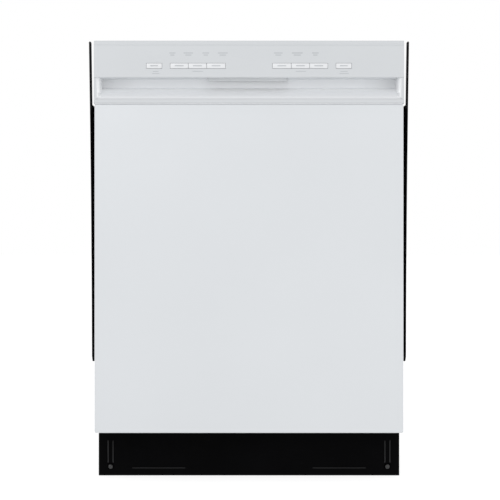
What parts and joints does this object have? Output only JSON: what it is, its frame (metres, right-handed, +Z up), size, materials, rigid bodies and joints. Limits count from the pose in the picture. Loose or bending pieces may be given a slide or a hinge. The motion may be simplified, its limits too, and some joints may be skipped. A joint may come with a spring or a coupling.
{
  "type": "built-in dishwasher",
  "caption": "Built-in dishwasher with a plain drop-down door, pocket handle, push-button console, sliding racks, spray arms, recessed toe kick and levelling feet.",
  "frame": {"origin": "middle of the footprint, on the floor", "axes": "+Z up, the door faces -Y, +X to the right of someone facing the door"},
  "size_m": [0.6294, 0.6224, 0.86],
  "materials": {
    "door_paint": "smooth white enamel",
    "console_plastic": "satin white moulding",
    "pocket_plastic": "satin white moulding",
    "button_plastic": "satin white moulding",
    "latch_plastic": "light grey moulding",
    "seal_rubber": "matt black",
    "kick_paint": "semi-gloss black",
    "stainless": "brushed",
    "zinc_steel": "bright zinc",
    "liner_plastic": "light grey moulding",
    "grey_plastic": "grey moulding",
    "blue_plastic": "blue-grey moulding",
    "base_plastic": "dark moulding",
    "pump_plastic": "black moulding",
    "gasket_rubber": "grey",
    "heater_steel": "heat-dulled",
    "rack_coating": "nylon-coated wire",
    "board_laminate": "green laminate"
  },
  "bodies": {
    "cabinet": {"tub": "stainless", "base_frame": "base_plastic", "toe_kick_panel": "kick_paint", "toe_kick_screw_left": "zinc_steel", "toe_kick_screw_right": "zinc_steel", "side_seal_left": "seal_rubber", "side_seal_right": "seal_rubber", "door_gasket": "gasket_rubber", "mounting_bracket_left": "stainless", "mounting_bracket_right": "stainless", "latch_strike": "stainless", "sump": "grey_plastic", "circulation_pump": "pump_plastic", "drain_pump": "grey_plastic", "inlet_valve": "liner_plastic", "junction_box": "zinc_steel", "coarse_filter": "stainless", "heating_element": "heater_steel", "water_feed_tube": "grey_plastic", "rail_guide_left": "zinc_steel", "rail_guide_right": "zinc_steel", "door_spring_left": "zinc_steel", "door_spring_right": "zinc_steel"},
    "door": {"door_outer_panel": "door_paint", "door_liner": "liner_plastic", "control_console": "console_plastic", "pocket_handle": "pocket_plastic", "control_board": "board_laminate", "hinge_arm_left": "zinc_steel", "hinge_arm_right": "zinc_steel", "dispenser_body": "blue_plastic"},
    "upper_rails": {"rack_rail_left": "zinc_steel", "rack_rail_right": "zinc_steel"},
    "upper_rack": {"upper_rack": "rack_coating", "rack_manifold": "grey_plastic"},
    "upper_spray_arm": {"upper_spray_arm": "grey_plastic"},
    "lower_rack": {"lower_rack": "rack_coating", "silverware_basket": "grey_plastic"},
    "lower_spray_arm": {"lower_spray_arm": "grey_plastic"},
    "fine_filter": {"fine_filter": "grey_plastic"},
    "float_cap": {"float_cap": "grey_plastic"},
    "detergent_lid": {"detergent_lid": "blue_plastic"},
    "rinse_aid_cap": {"rinse_aid_cap": "blue_plastic"},
    "door_latch": {"door_latch": "latch_plastic"},
    "button_far_left": {"button_far_left": "button_plastic"},
    "button_left_1": {"button_left_1": "button_plastic"},
    "button_left_2": {"button_left_2": "button_plastic"},
    "button_left_3": {"button_left_3": "button_plastic"},
    "button_right_1": {"button_right_1": "button_plastic"},
    "button_right_2": {"button_right_2": "button_plastic"},
    "button_right_3": {"button_right_3": "button_plastic"},
    "button_far_right": {"button_far_right": "button_plastic"},
    "leveling_leg_front_left": {"leveling_leg_front_left": "pump_plastic"},
    "leveling_leg_front_right": {"leveling_leg_front_right": "pump_plastic"},
    "leveling_leg_rear_left": {"leveling_leg_rear_left": "pump_plastic"},
    "leveling_leg_rear_right": {"leveling_leg_rear_right": "pump_plastic"},
    "lower_rack_wheel_front_left": {"lower_rack_wheel_front_left": "grey_plastic"},
    "lower_rack_wheel_front_right": {"lower_rack_wheel_front_right": "grey_plastic"},
    "lower_rack_wheel_rear_left": {"lower_rack_wheel_rear_left": "grey_plastic"},
    "lower_rack_wheel_rear_right": {"lower_rack_wheel_rear_right": "grey_plastic"}
  },
  "joints": [
    {"name": "door_hinge", "type": "hinge", "parent": "cabinet", "child": "door", "pos_m": [0, -0.25, 0.1], "axis": [1, 0, 0], "range_deg": [0, 90], "stiffness_Nm_per_rad": 16, "springref_deg": -11.46, "deforming": ["door_spring_left", "door_spring_right"]},
    {"name": "upper_rails_slide", "type": "slide", "parent": "cabinet", "child": "upper_rails", "axis": [0, -1, 0], "range_m": [0, 0.222]},
    {"name": "upper_rack_slide", "type": "slide", "parent": "upper_rails", "child": "upper_rack", "axis": [0, -1, 0], "range_m": [0, 0.222]},
    {"name": "lower_rack_slide", "type": "slide", "parent": "cabinet", "child": "lower_rack", "axis": [0, -1, 0], "range_m": [0, 0.206]},
    {"name": "upper_spray_arm_spin", "type": "hinge", "parent": "upper_rack", "child": "upper_spray_arm", "pos_m": [0, 0.03, 0.465], "axis": [0, 0, 1], "continuous": true},
    {"name": "lower_spray_arm_spin", "type": "hinge", "parent": "cabinet", "child": "lower_spray_arm", "pos_m": [0, 0.03, 0.179], "axis": [0, 0, 1], "continuous": true},
    {"name": "fine_filter_twist", "type": "hinge", "parent": "cabinet", "child": "fine_filter", "pos_m": [-0.045, 0.03, 0.13], "axis": [0, 0, -1], "range_deg": [0, 80]},
    {"name": "float_slide", "type": "slide", "parent": "cabinet", "child": "float_cap", "axis": [0, 0, 1], "range_m": [0, 0.008]},
    {"name": "detergent_lid_hinge", "type": "hinge", "parent": "door", "child": "detergent_lid", "pos_m": [-0.0475, -0.2082, 0.382], "axis": [-1, 0, 0], "range_deg": [0, 100]},
    {"name": "rinse_aid_cap_turn", "type": "hinge", "parent": "door", "child": "rinse_aid_cap", "pos_m": [0.05, -0.2095, 0.415], "axis": [0, 1, 0], "range_deg": [0, 90]},
    {"name": "door_latch_hinge", "type": "hinge", "parent": "door", "child": "door_latch", "pos_m": [-0.003, -0.2835, 0.7935], "axis": [-1, 0, 0], "range_deg": [0, 15], "stiffness_Nm_per_rad": 0.4, "springref_deg": -5.73},
    {"name": "button_far_left_press", "type": "slide", "parent": "door", "child": "button_far_left", "axis": [0, 1, 0], "range_m": [0, 0.0015], "stiffness_N_per_m": 250},
    {"name": "button_left_1_press", "type": "slide", "parent": "door", "child": "button_left_1", "axis": [0, 1, 0], "range_m": [0, 0.0015], "stiffness_N_per_m": 250},
    {"name": "button_left_2_press", "type": "slide", "parent": "door", "child": "button_left_2", "axis": [0, 1, 0], "range_m": [0, 0.0015], "stiffness_N_per_m": 250},
    {"name": "button_left_3_press", "type": "slide", "parent": "door", "child": "button_left_3", "axis": [0, 1, 0], "range_m": [0, 0.0015], "stiffness_N_per_m": 250},
    {"name": "button_right_1_press", "type": "slide", "parent": "door", "child": "button_right_1", "axis": [0, 1, 0], "range_m": [0, 0.0015], "stiffness_N_per_m": 250},
    {"name": "button_right_2_press", "type": "slide", "parent": "door", "child": "button_right_2", "axis": [0, 1, 0], "range_m": [0, 0.0015], "stiffness_N_per_m": 250},
    {"name": "button_right_3_press", "type": "slide", "parent": "door", "child": "button_right_3", "axis": [0, 1, 0], "range_m": [0, 0.0015], "stiffness_N_per_m": 250},
    {"name": "button_far_right_press", "type": "slide", "parent": "door", "child": "button_far_right", "axis": [0, 1, 0], "range_m": [0, 0.0015], "stiffness_N_per_m": 250},
    {"name": "leveling_leg_front_left_screw", "type": "slide", "parent": "cabinet", "child": "leveling_leg_front_left", "axis": [0, 0, -1], "range_m": [0, 0.032]},
    {"name": "leveling_leg_front_right_screw", "type": "slide", "parent": "cabinet", "child": "leveling_leg_front_right", "axis": [0, 0, -1], "range_m": [0, 0.032]},
    {"name": "leveling_leg_rear_left_screw", "type": "slide", "parent": "cabinet", "child": "leveling_leg_rear_left", "axis": [0, 0, -1], "range_m": [0, 0.032]},
    {"name": "leveling_leg_rear_right_screw", "type": "slide", "parent": "cabinet", "child": "leveling_leg_rear_right", "axis": [0, 0, -1], "range_m": [0, 0.032]},
    {"name": "lower_rack_wheel_front_left_spin", "type": "hinge", "parent": "lower_rack", "child": "lower_rack_wheel_front_left", "pos_m": [-0.2595, -0.06, 0.1582], "axis": [1, 0, 0], "range_deg": [0, 620]},
    {"name": "lower_rack_wheel_front_right_spin", "type": "hinge", "parent": "lower_rack", "child": "lower_rack_wheel_front_right", "pos_m": [0.2595, -0.06, 0.1582], "axis": [1, 0, 0], "range_deg": [0, 620]},
    {"name": "lower_rack_wheel_rear_left_spin", "type": "hinge", "parent": "lower_rack", "child": "lower_rack_wheel_rear_left", "pos_m": [-0.2595, 0.19, 0.1582], "axis": [1, 0, 0], "range_deg": [0, 620]},
    {"name": "lower_rack_wheel_rear_right_spin", "type": "hinge", "parent": "lower_rack", "child": "lower_rack_wheel_rear_right", "pos_m": [0.2595, 0.19, 0.1582], "axis": [1, 0, 0], "range_deg": [0, 620]}
  ],
  "couplings": [
    {"joint": "upper_rails_slide", "follows": "door_hinge", "m_per_rad": 0.14},
    {"joint": "upper_rack_slide", "follows": "door_hinge", "m_per_rad": 0.14},
    {"joint": "lower_rack_slide", "follows": "door_hinge", "m_per_rad": 0.13},
    {"joint": "lower_rack_wheel_front_left_spin", "follows": "door_hinge", "ratio": 6.8421},
    {"joint": "lower_rack_wheel_front_right_spin", "follows": "door_hinge", "ratio": 6.8421},
    {"joint": "lower_rack_wheel_rear_left_spin", "follows": "door_hinge", "ratio": 6.8421},
    {"joint": "lower_rack_wheel_rear_right_spin", "follows": "door_hinge", "ratio": 6.8421}
  ]
}
